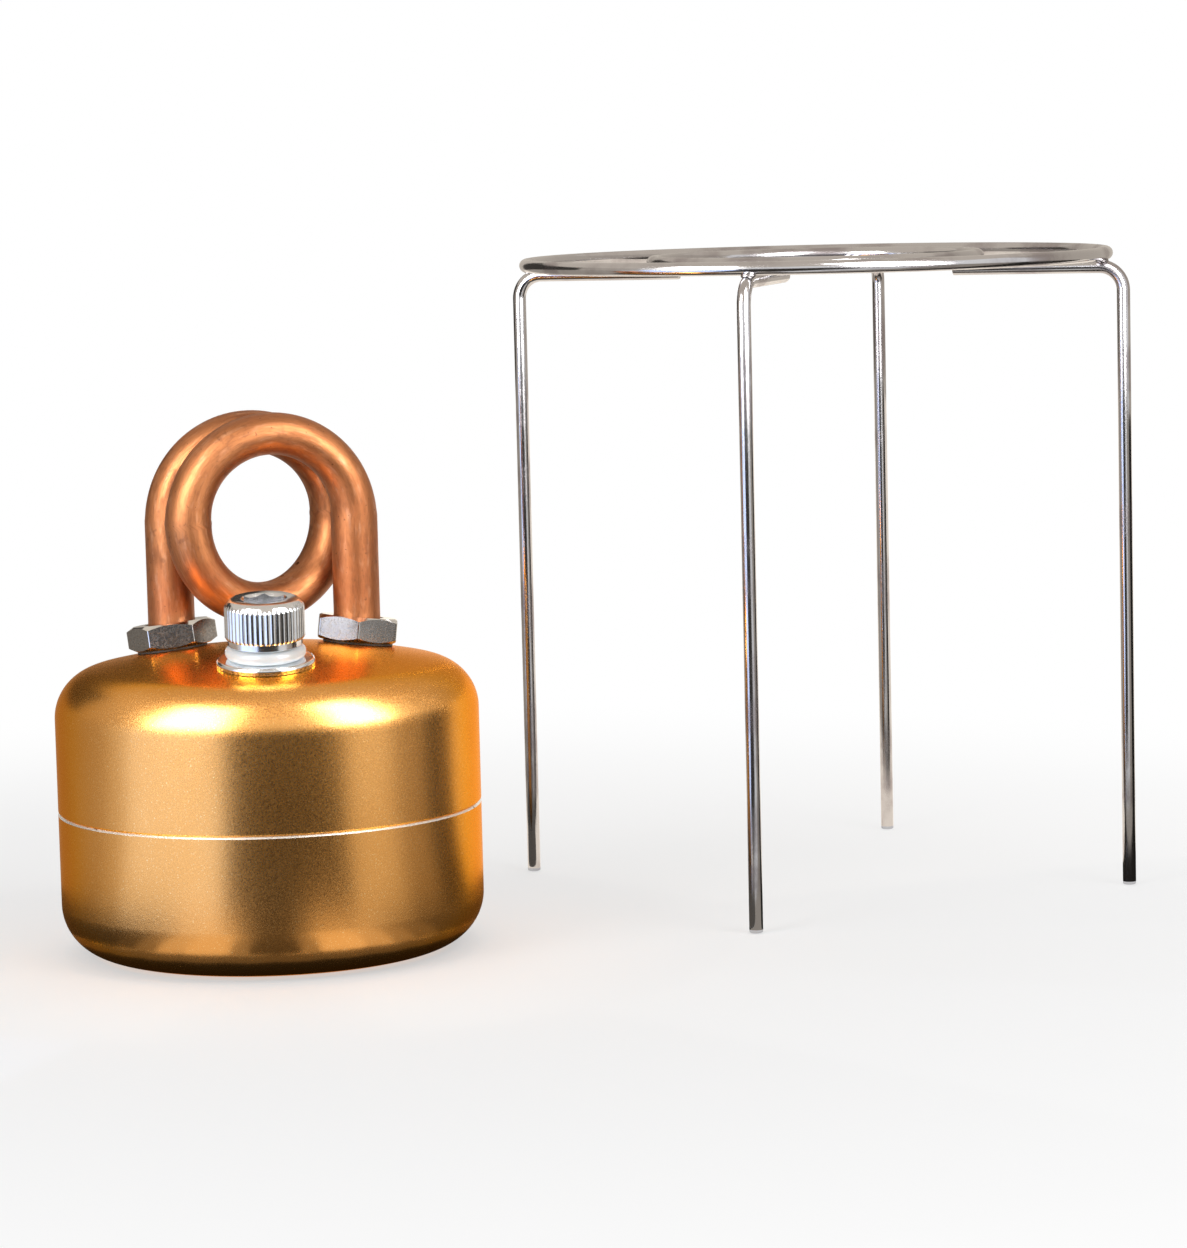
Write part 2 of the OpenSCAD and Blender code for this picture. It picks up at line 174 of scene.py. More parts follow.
class StoveColours(bpy.types.PropertyGroup):
    """Colours of the finishes"""

    gold: colour("Gold", "Anodised tank", (0.76, 0.37, 0.105))
    gold_deep: colour("Deep gold", "Darker clouds of the anodised tank", (0.72, 0.335, 0.085))
    # Pale bare aluminium, which is also the colour of the painted highlight along the seam
    bare: colour("Bare edge", "Bare aluminium on the seam's edges", (0.86, 0.83, 0.78))
    copper: colour("Copper", "Bare copper", (0.37, 0.145, 0.056))
    copper_pale: colour("Pale copper", "Rubbed streaks on the copper", (0.5, 0.26, 0.145))
    copper_brown: colour("Brown copper", "Oxide streaks on the copper", (0.17, 0.064, 0.03))
    copper_red: colour("Red copper", "Heat stains on the copper", (0.33, 0.11, 0.045))
    steel: colour("Steel", "Polished steel", (0.72, 0.72, 0.73))
    nut: colour("Nut", "Matt faces of the nuts", (0.27, 0.26, 0.252))
    nut_dull: colour("Dull nut", "Mottling on the faces of the nuts", (0.18, 0.168, 0.156))
    wire: colour("Wire", "Bright wire of the stand", (0.56, 0.55, 0.56))
    silicone: colour("Silicone", "Milky sealing ring", (0.80, 0.87, 0.92))
    dark: colour("Dark rubber", "Gaskets and seals", (0.02, 0.02, 0.022))
    cotton: colour("Cotton", "Wick strands and pad", (0.86, 0.82, 0.72))
    floor: colour("Floor", "Pale studio floor", (0.86, 0.86, 0.86))


def sizes():
    return bpy.context.scene.stove_sizes


def stand_sizes():
    return bpy.context.scene.stand_sizes


def colours():
    return bpy.context.scene.stove_colours


# Modelling by hand
def only(piece):
    """Selects one piece alone and makes it the active one."""
    bpy.ops.object.select_all(action="DESELECT")
    piece.select_set(True)
    bpy.context.view_layer.objects.active = piece


def edit(piece):
    """Opens a piece in edit mode with all of it selected."""
    only(piece)
    bpy.ops.object.mode_set(mode="EDIT")
    bpy.ops.mesh.select_all(action="SELECT")


def leave_edit():
    bpy.ops.object.mode_set(mode="OBJECT")


def named(name):
    piece = bpy.context.active_object
    piece.name = name
    piece.data.name = name
    return piece


def extrude(step, times=1):
    for _ in range(times):
        bpy.ops.mesh.extrude_region_move(TRANSFORM_OT_translate={"value": step})


def spin(steps, angle, centre=(0, 0, 0), axis=(0, 0, 1)):
    bpy.ops.mesh.spin(steps=steps, angle=angle, center=centre, axis=axis)


def line(name, points):
    """An open line of vertices, drawn by extruding one vertex from point to point."""
    bpy.ops.mesh.primitive_plane_add(size=MM)
    piece = named(name)
    edit(piece)
    bpy.ops.mesh.merge(type="CENTER")
    at = Vector(points[0])
    bpy.ops.transform.translate(value=at)
    for point in points[1:]:
        extrude(Vector(point) - at)
        at = Vector(point)
    leave_edit()
    return piece


def shade(smooth):
    bpy.ops.object.shade_smooth_by_angle(angle=math.radians(smooth))


def tidy_surface(piece, smooth=35):
    """Merges doubles, turns all faces outwards and shades the piece smooth up to an angle."""
    edit(piece)
    bpy.ops.mesh.remove_doubles(threshold=0.002 * MM)
    bpy.ops.mesh.dissolve_degenerate(threshold=0.001 * MM)
    bpy.ops.mesh.normals_make_consistent(inside=False)
    leave_edit()
    shade(smooth)


def lathe(name, outline, steps=144, smooth=35):
    """Spins an outline of (radius, height) round Z."""
    piece = line(name, [(r, 0, z) for r, z in outline])
    edit(piece)
    spin(steps, TURN)
    leave_edit()
    tidy_surface(piece, smooth)
    return piece


def arc(x, z, r, start, end, steps):
    """Points on an arc, with angles in degrees from straight up."""
    angles = [math.radians(start + (end - start) * i / steps) for i in range(steps + 1)]
    return [(x + r * math.sin(a), z + r * math.cos(a)) for a in angles]


def place(piece, matrix):
    piece.matrix_world = matrix @ piece.matrix_world
    only(piece)
    bpy.ops.object.transform_apply(location=True, rotation=True, scale=True)


def modify(piece, kind, **settings):
    """Adds a modifier with its settings and applies it."""
    modifier = piece.modifiers.new(kind.title(), kind)
    for label, value in settings.items():
        setattr(modifier, label, value)
    only(piece)
    bpy.ops.object.modifier_apply(modifier=modifier.name)


def combine(piece, other, operation="DIFFERENCE"):
    """Applies a boolean with another piece, which is then deleted."""
    modify(piece, "BOOLEAN", operation=operation, solver="EXACT", object=other)
    bpy.data.objects.remove(other)


def join(pieces, name):
    only(pieces[0])
    for piece in pieces:
        piece.select_set(True)
    bpy.ops.object.join()
    return named(name)


def bevel(piece, amount, segments=2, angle=30):
    edges = {"limit_method": "ANGLE", "angle_limit": math.radians(angle)}
    modify(piece, "BEVEL", width=amount, segments=segments, **edges)


def rod(r, low, high, sides=64):
    """A cylinder or prism along Z."""
    bpy.ops.mesh.primitive_cylinder_add(
        vertices=sides, radius=r, depth=high - low, location=(0, 0, (low + high) / 2)
    )
    piece = named("cutter")
    place(piece, Matrix.Identity(4))
    return piece


def circle(name, vertices, r, at=(0, 0, 0), rotation=(0, 0, 0), fill="NOTHING"):
    """A ring of vertices, left in edit mode and selected."""
    bpy.ops.mesh.primitive_circle_add(
        vertices=vertices, radius=r, fill_type=fill, location=at, rotation=rotation
    )
    piece = named(name)
    place(piece, Matrix.Identity(4))
    edit(piece)
    return piece


def filler_frame():
    """The frame of the filler: its origin on the dome, +Z out of the tank."""
    turn = FILLER_AXIS.to_track_quat("Z", "Y").to_matrix().to_4x4()
    return Matrix.Translation(FILLER_AT) @ turn


def leg_tilt(leg):
    return math.asin(math.hypot(leg.x, leg.y) / sizes().dome_r)


def leg_frame(node, leg, turn):
    """The frame of a nut that leans outwards with the dome."""
    direction = math.atan2(leg.y, leg.x)
    around = Matrix.Rotation(direction, 4, "Z")
    lean = around @ Matrix.Rotation(leg_tilt(leg), 4, "Y") @ around.inverted()
    return Matrix.Translation(middle(node)) @ lean @ Matrix.Rotation(turn, 4, "Z")


# Shader nodes
def new_group(name, numbers, results):
    """A shader group that takes a vector and some numbers, and gives masks or heights."""
    tree = bpy.data.node_groups.new(name, "ShaderNodeTree")
    tree.interface.new_socket("Vector", in_out="INPUT", socket_type="NodeSocketVector")
    for label, value in numbers.items():
        socket = tree.interface.new_socket(label, in_out="INPUT", socket_type="NodeSocketFloat")
        socket.default_value = value
    for label in results:
        tree.interface.new_socket(label, in_out="OUTPUT", socket_type="NodeSocketFloat")
    return tree, tree.nodes.new("NodeGroupInput"), tree.nodes.new("NodeGroupOutput")


def add_node(tree, kind, inputs, **settings):
    """Adds a node with its settings, and sets or links its inputs."""
    node = tree.nodes.new(kind)
    for label, value in settings.items():
        setattr(node, label, value)
    for label, value in inputs.items():
        if hasattr(value, "is_linked"):
            tree.links.new(value, node.inputs[label])
        else:
            node.inputs[label].default_value = value
    return node


def math_node(tree, operation, first, second):
    node = add_node(tree, "ShaderNodeMath", {0: first, 1: second}, operation=operation)
    return node.outputs[0]


def noise_node(tree, vector, scale, detail):
    inputs = {"Vector": vector, "Scale": scale, "Detail": detail}
    return add_node(tree, "ShaderNodeTexNoise", inputs).outputs["Fac"]


def level_node(tree, value, low, high):
    """A mask that rises smoothly from low to high."""
    inputs = {"Value": value, "From Min": low, "From Max": high}
    smooth = {"interpolation_type": "SMOOTHSTEP"}
    return add_node(tree, "ShaderNodeMapRange", inputs, **smooth).outputs["Result"]


def between(tree, mask, low, high):
    """Turns a mask into a number between low and high."""
    inputs = {"Value": mask, "To Min": low, "To Max": high}
    return add_node(tree, "ShaderNodeMapRange", inputs).outputs["Result"]


def cloud_group(name):
    """Soft clouds: a mask of noise between two levels."""
    numbers = {"Scale": 100.0, "Low": 0.4, "High": 0.6}
    tree, given, result = new_group(name, numbers, ["Mask"])
    vector, scale, low, high = given.outputs[:4]
    mask = level_node(tree, noise_node(tree, vector, scale, 4), low, high)
    tree.links.new(mask, result.inputs["Mask"])
    return tree


def grain_group(name):
    """Fine grain: a height for bump and a mask of scattered bright specks."""
    tree, given, result = new_group(name, {"Scale": 3000.0}, ["Height", "Specks"])
    vector, scale = given.outputs[:2]
    fine = noise_node(tree, vector, scale, 2)
    coarse = noise_node(tree, vector, math_node(tree, "MULTIPLY", scale, 0.37), 1)
    tree.links.new(math_node(tree, "ADD", fine, coarse), result.inputs["Height"])
    tree.links.new(level_node(tree, fine, 0.62, 0.74), result.inputs["Specks"])
    return tree


# Materials
class Finish:
    """A new material with the nodes that most finishes need, in object coordinates."""

    def __init__(self, name, metallic, roughness, **others):
        self.material = bpy.data.materials.new(name)
        self.material.use_nodes = True
        self.tree = self.material.node_tree
        self.shader = self.tree.nodes["Principled BSDF"]
        self.where = self.tree.nodes.new("ShaderNodeTexCoord").outputs["Object"]
        for label, value in dict(others, metallic=metallic, roughness=roughness).items():
            self.shader.inputs[label.replace("_", " ").title()].default_value = value

    def group(self, make, name, inputs):
        group = bpy.data.node_groups.get(name) or make(name)
        return add_node(self.tree, "ShaderNodeGroup", inputs, node_tree=group).outputs

    def clouds(self, scale, low, high, vector=None):
        inputs = {"Vector": vector or self.where, "Scale": scale, "Low": low, "High": high}
        return self.group(cloud_group, "Clouds", inputs)["Mask"]

    def grain(self, scale):
        return self.group(grain_group, "Grain", {"Vector": self.where, "Scale": scale})

    def product(self, first, second):
        return math_node(self.tree, "MULTIPLY", first, second)

    def mix(self, mask, first, second):
        """Mixes two colours, each a socket or three numbers."""
        tones = [tone if hasattr(tone, "is_linked") else (*tone, 1) for tone in (first, second)]
        inputs = {"Factor": mask, 6: tones[0], 7: tones[1]}
        return add_node(self.tree, "ShaderNodeMix", inputs, data_type="RGBA").outputs[2]

    def paint(self, tone):
        self.tree.links.new(tone, self.shader.inputs["Base Color"])

    def roughen(self, mask, low, high):
        self.tree.links.new(between(self.tree, mask, low, high), self.shader.inputs["Roughness"])

    def bump(self, height_socket, strength, distance):
        inputs = {"Height": height_socket, "Strength": strength, "Distance": distance}
        node = add_node(self.tree, "ShaderNodeBump", inputs)
        self.tree.links.new(node.outputs["Normal"], self.shader.inputs["Normal"])


def dimmed(tone, share):
    return [share * value for value in tone]


def once(make):
    """Makes a material at the first call and finds it again at later ones."""

    def get():
        return bpy.data.materials.get(make.__name__) or make()

    return get


@once
def anodised_gold():
    """Blasted and anodised aluminium: satin gold with a fine sparkling grain."""
    c = colours()
    m = Finish("anodised_gold", 1, 0.26, specular_tint=(1, 0.5, 0.08, 1), coat_weight=0.12,
               coat_roughness=0.32)
    grain = m.grain(5600)
    tone = m.mix(m.clouds(60, 0.35, 0.65), c.gold, c.gold_deep)
    m.paint(m.mix(grain["Specks"], tone, (0.92, 0.6, 0.26)))
    m.roughen(m.clouds(5200, 0.35, 0.65), 0.25, 0.31)
    m.bump(grain["Height"], 0.7, 0.01 * MM)
    return m.material


@once
def bare_edge_and_highlight():
    """Machined seam edges: bright bare aluminium with small dark breaks; its diffuse share also
    paints the seam's highlight.
    """
    # A metallic below 1 leaves a diffuse share, so the pale colour paints a highlight on the
    # chamfer
    m = Finish("bare_edge_and_highlight", 0.7, 0.35)
    breaks = m.clouds(420, 0.64, 0.7)
    m.paint(m.mix(breaks, colours().bare, (0.25, 0.13, 0.04)))
    m.roughen(breaks, 0.35, 0.6)
    return m.material


@once
def bent_copper():
    """Bare copper tube: drawn streaks along it, brown oxide, red heat stains and pits."""
    c = colours()
    m = Finish("bent_copper", 1, 0.35)
    flow = add_node(m.tree, "ShaderNodeAttribute", {}, attribute_name="flow").outputs["Vector"]
    streaks = m.clouds(3.2, 0.42, 0.7, flow)
    fine = m.clouds(13, 0.4, 0.75, flow)
    rubbed = m.clouds(5, 0.5, 0.8, flow)
    stains = m.clouds(85, 0.4, 0.66)
    heat = m.clouds(48, 0.45, 0.75)
    freckles = m.clouds(900, 0.55, 0.7)
    pits = m.clouds(2100, 0.67, 0.73)
    tone = m.mix(heat, c.copper, c.copper_red)
    tone = m.mix(m.product(rubbed, 0.6), tone, c.copper_pale)
    oxide = (
        m.product(m.product(streaks, stains), 0.8),
        m.product(fine, 0.4),
        m.product(m.product(freckles, stains), 0.7),
        pits,
    )
    for mask in oxide:
        tone = m.mix(mask, tone, c.copper_brown)
    m.paint(tone)
    m.roughen(streaks, 0.46, 0.62)
    m.bump(math_node(m.tree, "SUBTRACT", fine, pits), 0.3, 0.03 * MM)
    return m.material


def polished_steel(name, tone, low, high):
    """Turned and polished steel with faint wipe marks."""
    m = Finish(name, 1, low)
    haze = m.clouds(500, 0.4, 0.75)
    m.paint(m.mix(haze, tone, dimmed(tone, 0.86)))
    m.roughen(haze, low, high)
    return m.material


@once
def turned_steel():
    return polished_steel("turned_steel", colours().steel, 0.13, 0.24)


@once
def bright_chamfer():
    return polished_steel("bright_chamfer", (0.8, 0.79, 0.76), 0.08, 0.18)


@once
def nut_face():
    """Matt plated faces of the nuts, mottled with grey and brown."""
    c = colours()
    m = Finish("nut_face", 1, 0.35)
    spots = m.clouds(3600, 0.32, 0.74)
    tone = m.mix(spots, c.nut, c.nut_dull)
    m.paint(m.mix(m.clouds(450, 0.56, 0.8), tone, (0.26, 0.21, 0.17)))
    m.roughen(spots, 0.2, 0.32)
    m.bump(m.grain(1500)["Height"], 0.25, 0.02 * MM)
    return m.material


@once
def milky_silicone():
    c = colours()
    m = Finish("milky_silicone", 0, 0.32, subsurface_weight=0.6, subsurface_scale=1.5 * MM,
               subsurface_radius=(0.8, 0.9, 1), coat_weight=0.25)
    haze = m.clouds(350, 0.35, 0.7)
    m.paint(m.mix(haze, c.silicone, dimmed(c.silicone, 0.93)))
    m.roughen(haze, 0.28, 0.42)
    return m.material


@once
def dark_rubber():
    m = Finish("dark_rubber", 0, 0.6)
    m.paint(m.mix(m.clouds(600, 0.5, 0.8), colours().dark, (0.06, 0.055, 0.05)))
    m.bump(m.grain(2500)["Height"], 0.3, 0.03 * MM)
    return m.material


@once
def cotton_fibre():
    c = colours()
    m = Finish("cotton_fibre", 0, 0.95, sheen_weight=0.5)
    m.paint(m.mix(m.clouds(900, 0.35, 0.7), c.cotton, dimmed(c.cotton, 0.8)))
    m.bump(m.grain(2200)["Height"], 0.8, 0.2 * MM)
    return m.material


@once
def bright_wire():
    """Bright drawn wire with darker, duller patches."""
    m = Finish("bright_wire", 1, 0.16)
    patch = m.clouds(130, 0.45, 0.7)
    m.paint(m.mix(patch, colours().wire, (0.36, 0.33, 0.34)))
    m.roughen(patch, 0.12, 0.26)
    return m.material


@once
def weld_metal():
    m = Finish("weld_metal", 1, 0.35)
    burn = m.clouds(700, 0.4, 0.7)
    m.paint(m.mix(burn, (0.3, 0.28, 0.28), (0.1, 0.08, 0.07)))
    m.roughen(burn, 0.28, 0.5)
    return m.material


def finish_with(piece, *materials):
    piece.data.materials.clear()
    for material in materials:
        piece.data.materials.append(material)


def stands_for(node, piece, body, slot, *materials):
    """Puts a finished piece in a CAD node's place, with its materials if they are given."""
    if materials:
        finish_with(piece, *materials)
    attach(piece, body)
    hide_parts(node)


# Tank
def mark_seam_edge(piece):
    """Gives the chamfer at the seam the second material: bare aluminium that also paints the seam's
    highlight.
    """
    reach = sizes().seam_chamfer + HAIR
    for face in piece.data.polygons:
        places = [piece.data.vertices[v].co for v in face.vertices]
        near_seam = all(abs(co.z - SEAM_Z) < reach for co in places)
        outside = all(math.hypot(co.x, co.y) > TANK_R - reach for co in places)
        face.material_index = int(near_seam and outside)


def dome_side(inset):
    """The outline of the top and the shoulder, from the axis to the side."""
    s = sizes()
    shoulder_x = TANK_R - s.shoulder_r
    run = s.dome_r - s.shoulder_r
    shoulder_z = TANK_H - s.dome_r + math.sqrt(run**2 - shoulder_x**2)
    edge = math.degrees(math.asin(shoulder_x / run))
    dome = arc(0, TANK_H - s.dome_r, s.dome_r - inset, 0, edge, 24)
    return dome + arc(shoulder_x, shoulder_z, s.shoulder_r - inset, edge, 90, 20)[1:]


def foot_side(inset):
    """The outline of the foot and the bottom edge, from the axis to the side."""
    s = sizes()
    foot_r = TANK_R - s.foot_edge_r
    return [(0, inset)] + arc(foot_r, s.foot_edge_r, s.foot_edge_r - inset, 180, 90, 20)


class STOVE_OT_upper_shell(bpy.types.Operator):
    """Models the domed top half of the tank"""

    bl_idname = "stove.upper_shell"
    bl_label = "Upper shell"

    def execute(self, context):
        s = sizes()
        outline = dome_side(0)
        outline += [(TANK_R, SEAM_Z + s.seam_chamfer), (TANK_R - s.seam_chamfer, SEAM_Z)]
        outline += [(TANK_R - s.wall, SEAM_Z)]
        outline += reversed(dome_side(s.wall))
        piece = lathe("upper_shell_body", outline, 192)
        hole = rod(s.insert_d / 2 + HAIR, -4 * s.wall, 4 * s.wall)
        place(hole, filler_frame())
        combine(piece, hole)
        for leg in (LEFT_LEG, RIGHT_LEG):
            hole = rod(s.tube_d / 2 + LEG_PLAY, TANK_H - 5 * s.wall, TANK_H + s.wall)
            place(hole, Matrix.Translation((leg.x, leg.y, 0)))
            combine(piece, hole)
        tidy_surface(piece)
        stands_for("upper_shell", piece, "stove", "gold_anodised", anodised_gold())
        return {"FINISHED"}


class STOVE_OT_lower_cup(bpy.types.Operator):
    """Models the bottom half of the tank with its inner lip"""

    bl_idname = "stove.lower_cup"
    bl_label = "Lower cup"

    def execute(self, context):
        s = sizes()
        seal_low, seal_high = corners("seam_seal")
        lip_r = TANK_R - s.wall - HAIR
        groove_r = lip_r - s.lip_t / 2
        inner_r = lip_r - s.lip_t
        lip_top = SEAM_Z + s.lip_h
        slack = 0.2 * MM
        lip_foot, lip_end = 3 * MM, 4.6 * MM
        outline = foot_side(0)
        outline += [
            (TANK_R, SEAM_Z - s.seam_chamfer),
            (TANK_R - s.seam_chamfer, SEAM_Z),
            (lip_r, SEAM_Z),
            (lip_r, seal_low.z - slack),
            (groove_r, seal_low.z - slack),
            (groove_r, seal_high.z + slack),
            (lip_r, seal_high.z + slack),
            (lip_r, lip_top - slack),
            (lip_r - slack, lip_top),
            (inner_r, lip_top),
            (inner_r, SEAM_Z - lip_foot),
            (TANK_R - s.wall, SEAM_Z - lip_end),
        ]
        outline += reversed(foot_side(s.wall))
        piece = lathe("lower_cup_body", outline, 192)
        # The seam's upward chamfer gets bare aluminium with a painted highlight
        finish_with(piece, anodised_gold(), bare_edge_and_highlight())
        mark_seam_edge(piece)
        stands_for("lower_cup", piece, "stove", "gold_anodised")
        finish_with(frame["nodes"]["seam_seal"], dark_rubber())
        return {"FINISHED"}


# Filler and plug
def flange_top():
    """How high the flange's top stands in the filler's frame."""
    s = sizes()
    return s.flange_h - (s.dome_r - math.sqrt(s.dome_r**2 - (s.insert_d / 2) ** 2))


class STOVE_OT_filler(bpy.types.Operator):
    """Models the threaded insert with its polished, serrated flange"""

    bl_idname = "stove.filler"
    bl_label = "Filler insert"

    def execute(self, context):
        s = sizes()
        top = flange_top()
        seat = top - s.flange_h
        rim = s.flange_h / 2
        flange_r = s.flange_d / 2
        insert_r = s.insert_d / 2
        bulge_r = s.bulge_d / 2
        bore_r = s.plug_d / 2 + LOOSE
        undercut = 0.2 * MM
        under = -s.wall - undercut
        edge_r = flange_r - undercut
        mouth = groove = 0.3 * MM
        notch = 0.25 * MM
        outline = [(bore_r + mouth, top)]
        outline += arc(flange_r - rim, top - rim, rim, 0, 100, 12)
        outline += [
            (edge_r, seat + s.flange_h / 3),
            (edge_r, seat),
            (insert_r, seat),
            (insert_r, under),
            (bulge_r - mouth, under),
            (bulge_r, under - mouth),
            (bulge_r, under - MM),
            (insert_r, under - 2 * MM),
            (insert_r, seat - s.insert_l),
            (bore_r, seat - s.insert_l),
        ]
        for i in range(int(s.insert_l / s.pitch) - 1):
            low = seat - s.insert_l + (i + 0.5) * s.pitch
            outline += [(bore_r, low), (bore_r + groove, low + s.pitch / 2)]
            outline += [(bore_r, low + s.pitch)]
        outline += [(bore_r, top - mouth), (bore_r + mouth, top)]
        flange = lathe("flange", outline, 144, 30)
        teeth = rod(flange_r - HAIR, seat, seat + s.flange_h / 3, 4 * s.serrations)
        for vertex in teeth.data.vertices:
            step = round(math.atan2(vertex.co.y, vertex.co.x) / TURN * 4 * s.serrations)
            if step % 4 > 1:
                vertex.co.xy *= 1 - notch / flange_r
        combine(teeth, rod(insert_r, seat - MM, seat + MM))
        piece = join([flange, teeth], "filler_flange")
        place(piece, filler_frame())
        stands_for("filler_insert", piece, "stove", "polished_steel", turned_steel())
        return {"FINISHED"}


class STOVE_OT_seal_ring(bpy.types.Operator):
    """Models the squeezed silicone ring under the plug's head"""

    bl_idname = "stove.seal_ring"
    bl_label = "Sealing ring"

    def execute(self, context):
        s = sizes()
        low = flange_top()
        half = s.seal_h / 2
        inner = s.plug_d / 2 + LOOSE
        outer = s.seal_d / 2
        outline = arc(outer - half, low + half, half, 0, 180, 14)
        outline += arc(inner + half, low + half, half, 180, 360, 14)
        outline.append(outline[0])
        piece = lathe("plug_seal", outline, 96, 60)
        place(piece, filler_frame())
        stands_for("plug_seal_ring", piece, "plug_ring", "silicone", milky_silicone())
        return {"FINISHED"}


def corner_radius(across_flats):
    """The radius at a hexagon's corners."""
    return across_flats / 2 / math.cos(TURN / 12)


def knurled_head():
    """The plug's head, ring by ring, with rounded ridges between sharp valleys.

    A level is a height, a radius and the share of the knurls' depth.
    """
    s = sizes()
    head_r = s.head_d / 2
    band_r = s.band_d / 2
    per_knurl = 8
    edge = 0.25 * MM
    rim = 0.85 * MM
    depth = 0.12 * MM
    levels = [(0, band_r - edge, 0), (edge, band_r, 0), (s.band_h, band_r, 0)]
    levels += [(s.band_h + LOOSE, head_r - depth, 0), (s.band_h + edge, head_r, 1)]
    levels += [(s.band_h + 2 * edge, head_r, 1), (s.head_h - rim - edge, head_r, 1)]
    rounding = ((1, 0.05, 1), (0.75, 0.22, 0.2), (0.5, 0.36, 0), (0.2, 0.62, 0), (0, 0.95, 0))
    for down, inset, share in rounding:
        levels.append((s.head_h - down * rim, head_r - inset * MM, share))
    piece = circle("plug_head", per_knurl * s.knurls, levels[0][1])
    for below, level in zip(levels, levels[1:]):
        extrude((0, 0, level[0] - below[0]))
        scale = level[1] / below[1]
        bpy.ops.transform.resize(value=(scale, scale, 1))
    leave_edit()
    for vertex in piece.data.vertices:
        near = min(levels, key=lambda level: abs(level[0] - vertex.co.z))
        phase = math.atan2(vertex.co.y, vertex.co.x) * s.knurls / 2
        vertex.co.xy *= 1 - near[2] * depth * (1 - abs(math.sin(phase))) / near[1]
    cap_rings(piece)
    tidy_surface(piece, 28)
    socket_r = corner_radius(s.socket_af)
    combine(piece, rod(socket_r, s.head_h - s.socket_depth, s.head_h + MM, 6))
    lead = 0.35 * MM
    low, high = s.head_h - lead, s.head_h + lead
    cone = [(0, low), (socket_r - lead, low), (socket_r + lead, high), (0, high)]
    combine(piece, lathe("lead", cone, 96))
    tidy_surface(piece, 28)
    return piece


def cap_rings(piece):
    """Closes the open rings at a piece's two ends."""
    edit(piece)
    bpy.ops.mesh.select_all(action="DESELECT")
    bpy.ops.mesh.select_mode(type="EDGE")
    bpy.ops.mesh.select_non_manifold(extend=False, use_wire=False, use_multi_face=False)
    bpy.ops.mesh.fill_holes(sides=0)
    bpy.ops.mesh.select_mode(type="VERT")
    leave_edit()


def helix(name, outline, pitch, turns, steps=48):
    """A closed outline of (radius, height) wound round Z."""
    piece = line(name, [(r, 0, z) for r, z in outline + outline[:1]])
    path = {"angle": TURN, "screw_offset": pitch, "iterations": turns}
    modify(piece, "SCREW", steps=steps, render_steps=steps, use_smooth_shade=False, **path)
    cap_rings(piece)
    return piece


def thread():
    """The plug's shank: a core with a chamfered tip and a wound ridge."""
    s = sizes()
    crest = s.plug_d / 2
    root = crest - 0.45 * MM
    neck = crest - 0.1 * MM
    tip = 0.5 * MM
    end = -s.plug_l
    outline = [(0, 0), (neck, 0), (neck, -s.pitch), (root, -1.4 * s.pitch)]
    outline += [(root, end + tip), (root - tip, end), (0, end)]
    core = lathe("shank", outline, 64)
    half = s.pitch * 0.46
    start = end + s.pitch
    flat = 0.06 * MM
    ridge = [(root - LOOSE, start - half), (crest, start - flat)]
    ridge += [(crest, start + flat), (root - LOOSE, start + half)]
    wound = helix("thread", ridge, s.pitch, int((s.plug_l - 2.5 * s.pitch) / s.pitch))
    tidy_surface(wound, 40)
    return [core, wound]


class STOVE_OT_plug(bpy.types.Operator):
    """Models the socket-head plug with its knurls and thread"""

    bl_idname = "stove.plug"
    bl_label = "Filler plug"

    def execute(self, context):
        s = sizes()
        piece = join([knurled_head(), *thread()], "plug_body")
        seat = Matrix.Translation((0, 0, flange_top() + s.seal_h))
        place(piece, filler_frame() @ seat)
        stands_for("plug_screw", piece, "plug", "polished_steel", turned_steel())
        return {"FINISHED"}


# Burner tube
def tube_joints():
    """The four places where the tube stands upright: two legs and two joints between turns."""
    s = sizes()
    turn = math.asin((s.tube_d + s.turn_gap) / (2 * s.bend_r))
    rear = math.atan(math.sin(turn) / (2 - math.cos(turn)))
    chord = Vector((math.cos(rear), math.sin(rear), 0)) * 2 * s.bend_r
    coil_z = COIL_TOP - s.bend_r - s.tube_d / 2
    left = Vector((LEFT_LEG.x, LEFT_LEG.y, coil_z))
    right = Vector((RIGHT_LEG.x, RIGHT_LEG.y, coil_z))
    return [left, left + chord, right - chord, right]


def tube_stations(steps=96):
    """Points along the centreline with their side direction, outward direction and bend share."""
    joints = tube_joints()
    rows = []
    left, right = joints[0], joints[3]
    chord = (joints[1] - left).normalized()
    side = Vector((chord.y, -chord.x, 0))
    for i in range(steps // 2):
        z = LEG_END_Z + (left.z - LEG_END_Z) * i / (steps // 2)
        rows.append(((left.x, left.y, z), side, -chord, 0))
    for k, up in enumerate((1, -1, 1)):
        a, b = joints[k], joints[k + 1]
        chord = (b - a).normalized()
        side = Vector((chord.y, -chord.x, 0)) * (1 if k != 1 else -1)
        for i in range(steps):
            t = math.pi * i / steps
            out = -chord * math.cos(t) + Vector((0, 0, up * math.sin(t)))
            rows.append(((a + b) / 2 + out * (b - a).length / 2, side, out, math.sin(t)))
    for i in range(steps // 2 + 1):
        z = right.z + (LEG_END_Z - right.z) * i / (steps // 2)
        rows.append(((right.x, right.y, z), side, chord, 0))
    return rows


